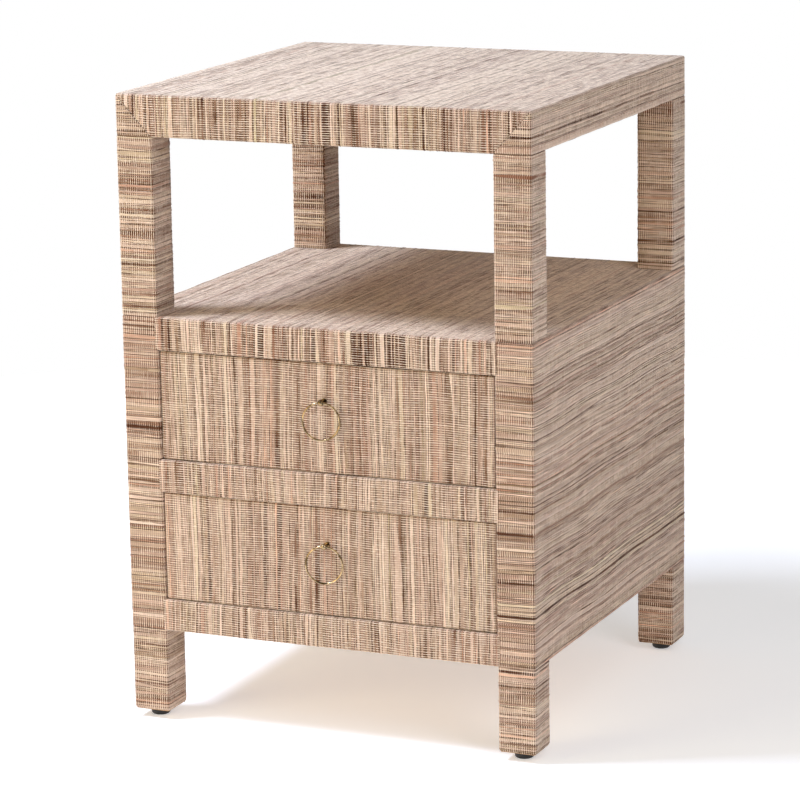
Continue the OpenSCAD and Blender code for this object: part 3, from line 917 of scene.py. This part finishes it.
def leg_sheet(looks, end_name, side_name, level, z_low, z_high, seed):
    """Sleeve round one leg; its seam is on the face towards the middle of the table."""
    side, end = SIDES[side_name], ENDS[end_name]
    outer_y, inner_y = (FRONT, FRONT + LEG_SIDE) if end < 0 else (BACK, BACK - LEG_SIDE)
    points = [(LEG_IN, inner_y), (LEG_IN, outer_y), (HALF_W, outer_y), (HALF_W, inner_y),
              (LEG_IN + SEAM, inner_y)]
    if end > 0:
        points = points[::-1]
    path = Path(points, LEG_R)
    lower = level == "lower"
    profile = rounded_ends(z_low, z_high, FOOT_R if lower else EDGE_R, low_end=lower, high_end=False)
    name = f"{end_name}_{side_name}_{level}_leg"
    sheet = Sheet(name, "carcass", [f"{name}_cloth"], path, profile, (outwards(side), Y, Z), seed)
    make_strips(sheet, looks["weave"], hump=(0.3, 0.75))
    make_threads(sheet, looks["thread"])


def shelf_sheet(looks):
    """Cloth over the shelf and down over the rail below it; beside the legs it stops short of them."""
    rail_bottom = node_box("shelf_rail")[0][2] - SHELF_OVERHANG
    path = Path([(BACK, SHELF_TOP - SHELF_FOLD), (BACK, SHELF_TOP), (FRONT - RAIL_PROUD, SHELF_TOP),
                 (FRONT - RAIL_PROUD, rail_bottom), (FRONT + TURN_IN, rail_bottom)], TOP_R * 0.99)
    profile = rounded_ends(-HALF_W, HALF_W, EDGE_R)
    rear, front, _ = path.corners

    def begin(x):
        return np.where(np.abs(x) > LEG_IN, rear + LEG_SIDE, path.at[0])

    def end(x):
        return np.where(np.abs(x) > LEG_IN + LAP, front - LEG_SIDE, path.at[-1])

    sheet = Sheet("shelf", "carcass", ["shelf_cloth"], path, profile, (Y, Z, X), 23, begin, end)
    make_strips(sheet, looks["weave"], dark_share=0.07, bold=boldness(rear, front, 0.3, 1.8))
    make_threads(sheet, looks["thread"], level=0.26)


def rail_sheet(looks, name, seed):
    """Cloth of a rail: its face and its turn-ins; its ends lap a little over the stiles."""
    low, high = node_box(f"{name}_cloth")
    face = FRONT - RAIL_PROUD
    path = Path([(FRONT + TURN_IN, high[2]), (face, high[2]), (face, low[2]), (FRONT + TURN_IN, low[2])],
                BOARD_R)
    profile = flat_profile()
    top_edge, bottom_edge = path.corners

    def keep(along, across):
        on_face = (along > top_edge - STRIP_SLACK) & (along < bottom_edge + STRIP_SLACK)
        return on_face | ((across > LAP) & (across < profile.length - LAP))

    sheet = Sheet(name, "carcass", [f"{name}_cloth"], path, profile, (Y, Z, X), seed, keep=keep)
    make_strips(sheet, looks["weave"], dark_share=0.06)
    make_threads(sheet, looks["thread"])


def side_sheet(looks, name, seed):
    """Cloth of one side of the box: in from the drawer openings, over the stile and round the legs."""
    side = SIDES[name]
    path = Path([(LEG_IN, FRONT + TURN_IN), (LEG_IN, FRONT), (HALF_W, FRONT), (HALF_W, BACK),
                 (LEG_IN, BACK)], LEG_R)
    profile = rounded_ends(BOX_BOTTOM, SHELF_TOP, BOARD_R)
    inner_edge, front_corner, rear_corner = path.corners
    openings = [node_box(f"{drawer}_drawer_front_cloth") for drawer in ("lower", "upper")]

    def begin(z):
        opened = np.zeros(z.shape, bool)
        for low, high in openings:
            opened |= (z > low[2] - SLACK) & (z < high[2] + SLACK)
        return np.where(opened, path.at[0], inner_edge)

    sheet = Sheet(f"{name}_side", "carcass", [f"{name}_side_cloth"], path, profile,
                  (outwards(side), Y, Z), seed, begin, lift=0.3)
    make_strips(sheet, looks["side"], mean=2.2, hump=(0.3, 0.8), dark_share=0.02, contrast=0.13,
                bold=boldness(front_corner, rear_corner, 0.9, 1.7))
    make_threads(sheet, looks["thread"], level=0.24)


def back_sheet(looks):
    """Cloth of the back panel, between the two side cloths."""
    path = Path([(BACK, BOX_BOTTOM), (BACK, SHELF_TOP - BACK_GAP)], FLAT_R)
    profile = flat_profile()
    sheet = Sheet("back", "carcass", ["back_cloth"], path, profile, (Y, Z, X), 41, lift=0.9)
    make_strips(sheet, looks["weave"])
    make_threads(sheet, looks["thread"])


# ---------------------------------------------------------------- the drawers
def drawer_front_sheet(looks, drawer, seed):
    """Cloth of one drawer front, turned back over its four edges."""
    low, high = node_box(f"{drawer}_drawer_front_cloth")
    back = low[1] + TURN_IN
    path = Path([(back, high[2]), (low[1], high[2]), (low[1], low[2]), (back, low[2])], BOARD_R)
    profile = Path([(low[0], TURN_IN), (low[0], 0.0), (high[0], 0.0), (high[0], TURN_IN)], SMALL_R,
                   row_step=PROFILE_STEP)
    top_edge, bottom_edge = path.corners
    left_edge, right_edge = profile.corners

    def keep(along, across):
        face_along = (along > top_edge - STRIP_SLACK) & (along < bottom_edge + STRIP_SLACK)
        face_across = (across > left_edge - STRIP_SLACK) & (across < right_edge + STRIP_SLACK)
        return face_along | face_across

    def on_face(along, across):
        inside = (along > top_edge - SLACK) & (along < bottom_edge + SLACK)
        return inside & (across > left_edge - SLACK) & (across < right_edge + SLACK)

    sheet = Sheet(f"{drawer}_drawer_front", f"{drawer}_drawer", [f"{drawer}_drawer_front_cloth"], path,
                  profile, (Y, Z, X), seed, keep=keep)
    make_strips(sheet, looks["weave"], contrast=0.22, dark_share=0.03)
    make_threads(sheet, looks["thread"], keep=on_face)


# ---------------------------------------------------------------- carried-over CAD nodes
def paint_nodes():
    """Gives every CAD node that stays in view its material, by the record's slot."""
    materials = {
        "carcass_board": board_material(),
        "drawer_wood": wood_material("drawer_wood", (214, 184, 144), (182, 146, 104), (14.0, 1.0, 14.0)),
        "brass": metal_material("brass", (204, 178, 138), (100, 80, 52), 0.09),
        "zinc_steel": metal_material("zinc_steel", (190, 192, 194), (150, 152, 156), 0.30),
        "glide_plastic": plastic_material(),
    }
    for part in frame["record"]["subparts"]:
        material = materials.get(part["material_slot"])
        if material is not None:
            node = frame["nodes"][part["node"]]
            node.data.materials.clear()
            node.data.materials.append(material)


# ---------------------------------------------------------------- floor, lamps and backdrop
FLOOR_RADIUS = 1.7
FLOOR_GLOW = 0.4
FLOOR_SIDES = 96


def make_floor():
    """A pale round floor that glows a little, more towards its rim, so that it fades into the backdrop."""
    turns = np.linspace(0, 2 * math.pi, FLOOR_SIDES + 1)[:-1]
    mesh = bpy.data.meshes.new("floor")
    mesh.from_pydata([(FLOOR_RADIUS * math.cos(t), FLOOR_RADIUS * math.sin(t), 0) for t in turns], [],
                     [tuple(range(len(turns)))])
    floor = bpy.data.objects.new("floor", mesh)
    bpy.context.scene.collection.objects.link(floor)
    s = Shader("floor")
    place = s.node("ShaderNodeTexCoord").outputs["Object"]
    away = s.node("ShaderNodeVectorMath", operation="LENGTH")
    s.feed(away.inputs[0], place)
    glow = s.between(away.outputs["Value"], 0.5, 1.4, FLOOR_GLOW, 1.0)
    cloud = s.noise(place, scale=1.5)
    mesh.materials.append(s.finish(
        Base_Color=s.ramp(cloud, [(0.3, (240, 240, 239)), (0.7, (244, 244, 243))]), Roughness=0.9,
        Emission_Color=colour4((255, 255, 255)), Emission_Strength=glow))


LAMP_AIM = Vector((0.0, 0.0, 0.33))
LAMP_DISTANCE = 2.4


def make_lamp(name, azimuth, elevation, power, tint, size=1.2):
    """A square soft lamp that points at the table."""
    data = bpy.data.lights.new(name, "AREA")
    data.shape = "SQUARE"
    data.size = size
    data.energy = power
    data.color = tint
    lamp = bpy.data.objects.new(name, data)
    bpy.context.scene.collection.objects.link(lamp)
    away = direction(azimuth, elevation)
    lamp.location = LAMP_AIM + away * LAMP_DISTANCE
    lamp.rotation_euler = (-away).to_track_quat("-Z", "Y").to_euler()


def make_world(ambient, backdrop):
    """A white backdrop behind the table and a dimmer room in front; the camera sees plain white."""
    world = bpy.data.worlds.new("studio")
    bpy.context.scene.world = world
    world.use_nodes = True
    nodes, links = world.node_tree.nodes, world.node_tree.links
    nodes.clear()
    place = nodes.new("ShaderNodeTexCoord")
    facing = nodes.new("ShaderNodeVectorMath")
    facing.operation = "DOT_PRODUCT"
    links.new(place.outputs["Generated"], facing.inputs[0])
    facing.inputs[1].default_value = -direction(CAMERA_AZIMUTH, 0.0)
    share = nodes.new("ShaderNodeMapRange")
    share.interpolation_type = "SMOOTHSTEP"
    links.new(facing.outputs["Value"], share.inputs["Value"])
    share.inputs["From Min"].default_value = 0.0
    share.inputs["From Max"].default_value = 0.7
    share.inputs["To Min"].default_value = ambient
    share.inputs["To Max"].default_value = backdrop
    seen = nodes.new("ShaderNodeLightPath")
    strength = nodes.new("ShaderNodeMath")
    strength.operation = "MAXIMUM"
    links.new(seen.outputs["Is Camera Ray"], strength.inputs[0])
    links.new(share.outputs[0], strength.inputs[1])
    background = nodes.new("ShaderNodeBackground")
    background.inputs["Color"].default_value = (1.0, 1.0, 1.0, 1.0)
    links.new(strength.outputs[0], background.inputs["Strength"])
    output = nodes.new("ShaderNodeOutputWorld")
    links.new(background.outputs[0], output.inputs[0])


# ---------------------------------------------------------------- the whole scene
bpy.context.scene.view_settings.view_transform = "Standard"
make_camera()

looks = {
    "weave": weave_material("weave"),
    # The sides' weave gets wider, longer and more frequent painted shade in its gaps, a stronger painted
    # highlight beside them, and less drift in its tone.
    "side": weave_material("weave_side", gap_width=0.75, gap_length=45.0, gap_share=0.08, lip_highlight_gain=0.7,
                           drifting=0.25),
    "thread": thread_material(),
}
# The last number of each call seeds that cloth's random draws.
top_sheet(looks)
for number, side_name in enumerate(SIDES):
    apron_sheet(looks, side_name, 50 + number)
    side_sheet(looks, side_name, 60 + number)
    for k, end_name in enumerate(ENDS):
        leg_sheet(looks, end_name, side_name, "upper", SHELF_TOP, APRON_BOTTOM, 70 + 2 * number + k)
        leg_sheet(looks, end_name, side_name, "lower", FOOT, BOX_BOTTOM, 80 + 2 * number + k)
shelf_sheet(looks)
rail_sheet(looks, "middle_rail", 31)
rail_sheet(looks, "bottom_rail", 32)
back_sheet(looks)
for number, drawer in enumerate(("upper", "lower")):
    drawer_front_sheet(looks, drawer, 90 + number)
paint_nodes()

make_floor()
make_world(0.15, 0.3)
make_lamp("key", -60, 52, 63.0, (0.69, 0.78, 1.0), size=0.6)
make_lamp("left_fill", -35, 8, 23.5, (1.0, 0.85, 0.54))
make_lamp("right_fill", 60, 20, 15.5, (0.82, 0.84, 1.0))
make_lamp("side", 45, 45, 8.0, (1.0, 0.96, 0.92))
